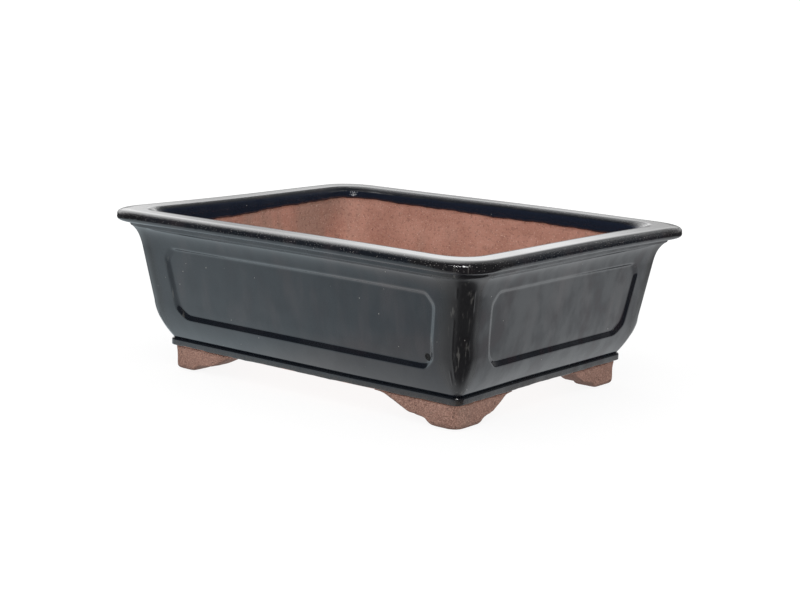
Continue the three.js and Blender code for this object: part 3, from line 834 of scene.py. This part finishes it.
def foot_piece(node, material):
    """A foot with softened edges and a hand-pressed face, up against the body."""
    low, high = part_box(node)
    piece = bpy.data.objects.new("clay_" + node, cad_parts[node].data.copy())
    bpy.context.scene.collection.objects.link(piece)
    weld = piece.modifiers.new("weld", "WELD")
    weld.merge_threshold = 1e-6
    voxels = piece.modifiers.new("voxels", "REMESH")
    voxels.mode = "VOXEL"
    voxels.voxel_size = FOOT_VOXEL
    soften = piece.modifiers.new("soften", "SMOOTH")
    soften.factor = 0.5
    soften.iterations = FOOT_SOFTENING
    made = bpy.data.meshes.new_from_object(piece.evaluated_get(bpy.context.evaluated_depsgraph_get()))
    piece.modifiers.clear()
    piece.data = made
    points = np.empty(len(made.vertices) * 3)
    made.vertices.foreach_get("co", points)
    points = points.reshape(-1, 3)
    noise.seed_set(FOOT_DENT_SEED)
    dents = np.array([noise.noise_vector(Vector(p) * FOOT_DENT_SCALE) for p in points.tolist()])
    points += dents * FOOT_DENT * smooth(low.z, low.z + FOOT_SOLE_ZONE, points[:, 2])[:, None]
    head_low, head_high = [high.z - below for below in FOOT_HEAD_ZONE]
    points[:, 2] += FOOT_REACH * smooth(head_low, head_high, points[:, 2])
    points = hand_made(points)
    made.vertices.foreach_set("co", points.ravel())
    made.materials.clear()
    made.materials.append(material)
    made.shade_smooth()
    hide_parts(node)
    return piece


body_clay = clay_material("bare_clay", BODY_DARK, BODY_LIGHT, fleck=0.42, pit=0.35, underside_shade=0.0, depth=0.0003)
# The feet: the body's clay toned darker as painted shade, with more painted shade low down and on faces that
# look down
shaded_foot_clay = clay_material("shaded_foot_clay", SHADED_FOOT_DARK, SHADED_FOOT_LIGHT, fleck=0.15, pit=0.60, underside_shade=0.60, depth=0.0006)
pieces = [glaze_piece(glaze_material()), clay_piece(body_clay)]
for end in ("front_left", "front_right", "back_left", "back_right"):
    pieces.append(foot_piece(f"foot_{end}", shaded_foot_clay))
for piece in pieces:
    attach(piece, "root")


# Stage: a pale floor with an upright rim far out, and a card and two window panes that only reflections see

STAGE_STEPS = 64
FLOOR_RADIUS = 14.0
FLOOR_RIM = 6.0
FLOOR_HEIGHT = -0.0003
CARD_RADIUS = 3.0
CARD_HEIGHT = -0.0006


def stage_sheet(name, radius, height, rim, material):
    """A round flat sheet on the ground, with an upright rim where one is asked for."""
    angles = np.linspace(0.0, 2 * math.pi, STAGE_STEPS, endpoint=False)
    level = np.full(STAGE_STEPS, height)
    ring = np.stack([radius * np.cos(angles), radius * np.sin(angles), level], axis=1)
    points = ring.tolist()
    faces = [list(range(STAGE_STEPS))]
    if rim > 0.0:
        points += (ring + (0.0, 0.0, rim)).tolist()
        for i in range(STAGE_STEPS):
            after = (i + 1) % STAGE_STEPS
            faces.append([i, after, STAGE_STEPS + after, STAGE_STEPS + i])
    mesh = bpy.data.meshes.new(name)
    mesh.from_pydata(points, [], faces)
    mesh.materials.append(material)
    sheet = bpy.data.objects.new(name, mesh)
    bpy.context.scene.collection.objects.link(sheet)
    return sheet


FLOOR_NEAR_GLOW = 0.90
FLOOR_FAR_GLOW = 1.0
FLOOR_GLOW_ZONE = (0.20, 0.60)
FLOOR_SHADE = 0.12


def floor_material():
    """White, with a little less glow of its own near the planter so that a faint shadow shows there."""
    material, tree, shader = new_material("pale_floor")
    away = measure(tree, "LENGTH", plain_place(tree))
    glow = ramp(tree, away, *FLOOR_GLOW_ZONE, FLOOR_NEAR_GLOW, FLOOR_FAR_GLOW)
    tree.links.new(glow, shader.inputs["Emission Strength"])
    shader.inputs["Base Color"].default_value = (FLOOR_SHADE, FLOOR_SHADE, FLOOR_SHADE, 1)
    shader.inputs["Roughness"].default_value = 0.9
    shader.inputs["Specular IOR Level"].default_value = 0.0
    shader.inputs["Emission Color"].default_value = (1, 1, 1, 1)
    return material


# Card: its light by distance from the middle, towards the camera and across, and its dark zone in front
CARD_DARK = 0.05
CARD_POOL = (0.32, 0.45)
CARD_FALL_ZONE = (0.04, 0.17)
CARD_FALL_LIGHT = (1.20, 0.74)
CARD_END = (0.20, 0.26)
CARD_BEHIND = (-0.20, -0.01)
CARD_BEHIND_LIGHT = 0.4
CARD_RIGHT = (-0.05, 0.12)
CARD_RIGHT_LIGHT = 0.70
CARD_SHADE_RIGHT = (0.0, 0.030)
CARD_SHADE_SLANT = TOWARDS_CAMERA + RIGHT_OF_CAMERA * 0.34
CARD_SHADE_FRONT = (0.133, 0.147)
CARD_TINT_ZONE = (-0.11, -0.05)
CARD_LEFT_TINT = (0.87, 0.99, 1.05)
CARD_RIGHT_TINT = (0.97, 1.00, 1.02)


def card_material():
    """Light that the glaze mirrors: bright round the planter, dark further out and in front on the right."""
    material, tree, shader = new_material("reflected_light")
    place = plain_place(tree)
    forward = part_along(tree, place, TOWARDS_CAMERA)
    across = part_along(tree, place, RIGHT_OF_CAMERA)
    slant = part_along(tree, place, CARD_SHADE_SLANT)
    shade = product(tree, ramp(tree, slant, *CARD_SHADE_FRONT), ramp(tree, across, *CARD_SHADE_RIGHT))
    pool = ramp(tree, measure(tree, "LENGTH", place), *CARD_POOL, 1.0, 0.0)
    strength = product(tree, pool, maths(tree, "SUBTRACT", 1.0, shade),
                       ramp(tree, forward, *CARD_END, 1.0, 0.0),
                       ramp(tree, forward, *CARD_BEHIND, CARD_BEHIND_LIGHT, 1.0),
                       ramp(tree, across, *CARD_RIGHT, 1.0, CARD_RIGHT_LIGHT))
    fall = add(tree, "ShaderNodeMapRange", {
        "Value": forward, "From Min": CARD_FALL_ZONE[0], "From Max": CARD_FALL_ZONE[1],
        "To Min": CARD_FALL_LIGHT[0], "To Max": CARD_FALL_LIGHT[1],
    }).outputs[0]
    tint = blend(tree, ramp(tree, across, *CARD_TINT_ZONE), CARD_LEFT_TINT, CARD_RIGHT_TINT)
    tree.links.new(tint, shader.inputs["Emission Color"])
    tree.links.new(maths(tree, "MULTIPLY_ADD", strength, fall, CARD_DARK), shader.inputs["Emission Strength"])
    shader.inputs["Base Color"].default_value = (0, 0, 0, 1)
    shader.inputs["Specular IOR Level"].default_value = 0.0
    return material


WINDOW_BRIGHT = 30.0
WINDOW_RISE = math.radians(46)
WINDOW_DISTANCE = 2.5
WINDOW_HALF_HEIGHT = 0.80
PANE_HALF_WIDTH = 0.13
PANE_PLACES = (-0.18, 0.18)


def window_material():
    """Bright panes behind the camera, which the glaze's rounded edges mirror as glints."""
    material, _, shader = new_material("window_light")
    shader.inputs["Base Color"].default_value = (0, 0, 0, 1)
    shader.inputs["Specular IOR Level"].default_value = 0.0
    shader.inputs["Emission Color"].default_value = (1, 1, 1, 1)
    shader.inputs["Emission Strength"].default_value = WINDOW_BRIGHT
    return material


floor = stage_sheet("floor", FLOOR_RADIUS, FLOOR_HEIGHT, FLOOR_RIM, floor_material())
floor.visible_glossy = False
card = stage_sheet("reflection_card", CARD_RADIUS, CARD_HEIGHT, 0.0, card_material())
window_light = window_material()
window_side = TOWARDS_CAMERA * math.cos(WINDOW_RISE) + UP * math.sin(WINDOW_RISE)
panes = []
for number, place in enumerate(PANE_PLACES):
    pane = stage_sheet(f"window_pane_{number}", 1.0, 0.0, 0.0, window_light)
    pane.scale = (PANE_HALF_WIDTH, WINDOW_HALF_HEIGHT, 1.0)
    pane.location = window_side * WINDOW_DISTANCE + RIGHT_OF_CAMERA * place
    pane.rotation_euler = window_side.to_track_quat("Z", "Y").to_euler()
    panes.append(pane)
for mirrored in (card, *panes):
    mirrored.visible_camera = False
    mirrored.visible_diffuse = False
    mirrored.visible_shadow = False


# Light: dim all round, bright behind for the lip's flat top and fading overhead, with soft boxes above

BACK_LIGHT = 1.8
DIM_LIGHT = 0.06


def studio_world():
    """Light from all round, which the lip's top and the glaze inside it mirror."""
    world = bpy.data.worlds.new("studio")
    world.use_nodes = True
    tree = world.node_tree
    direction = add(tree, "ShaderNodeTexCoord").outputs["Generated"]
    height = part_along(tree, direction, UP)
    across = part_along(tree, direction, RIGHT_OF_CAMERA)
    behind = ramp(tree, part_along(tree, direction, -TOWARDS_CAMERA), 0.2, 0.95)
    rise = ramp(tree, height, 0.085, 0.165, 0.25, 1.0)
    low_sides = product(tree, ramp(tree, across, -0.10, 0.03, 0.7, 1.0),
                        ramp(tree, across, 0.08, 0.18, 1.0, 0.6),
                        ramp(tree, across, -0.16, -0.10, 1.5, 1.0))
    high_sides = ramp(tree, across, -0.05, 0.15, 1.0, 0.2)
    sides = between(tree, ramp(tree, height, 0.20, 0.35), low_sides, high_sides)
    glow = product(tree, behind, rise, sides)
    background = tree.nodes["Background"]
    tree.links.new(maths(tree, "MULTIPLY_ADD", glow, BACK_LIGHT, DIM_LIGHT), background.inputs["Strength"])
    background.inputs["Color"].default_value = (1, 1, 1, 1)
    bpy.context.scene.world = world


def soft_box(name, place, size, power):
    """A square soft light that faces the planter and isn't mirrored in its glaze."""
    lamp = bpy.data.lights.new(name, "AREA")
    lamp.shape = "SQUARE"
    lamp.size = size
    lamp.energy = power
    light = bpy.data.objects.new(name, lamp)
    light.location = place
    light.rotation_euler = (CAMERA_AIM - place).to_track_quat("-Z", "Y").to_euler()
    light.visible_glossy = False
    bpy.context.scene.collection.objects.link(light)


def place_camera():
    """The camera where the fit put it, with a little roll."""
    back = TOWARDS_CAMERA * math.cos(CAMERA_ELEVATION) + UP * math.sin(CAMERA_ELEVATION)
    up = back.cross(RIGHT_OF_CAMERA)
    right = RIGHT_OF_CAMERA * math.cos(CAMERA_ROLL) + up * math.sin(CAMERA_ROLL)
    up = back.cross(right)
    place = CAMERA_AIM + back * CAMERA_DISTANCE + right * CAMERA_RIGHT + up * CAMERA_UP
    lens = bpy.data.cameras.new("camera")
    lens.sensor_width = 36.0
    lens.lens = CAMERA_LENS
    lens.clip_end = 60.0
    camera = bpy.data.objects.new("camera", lens)
    camera.matrix_world = Matrix.Translation(place) @ Matrix((right, up, back)).transposed().to_4x4()
    bpy.context.scene.collection.objects.link(camera)
    bpy.context.scene.camera = camera


studio_world()
soft_box("overhead", UP * 1.2, 1.4, 8.0)
soft_box("front", TOWARDS_CAMERA * 0.7 - RIGHT_OF_CAMERA * 0.15 + UP * 0.9, 1.0, 7.0)
place_camera()
bpy.context.scene.view_settings.view_transform = "Standard"
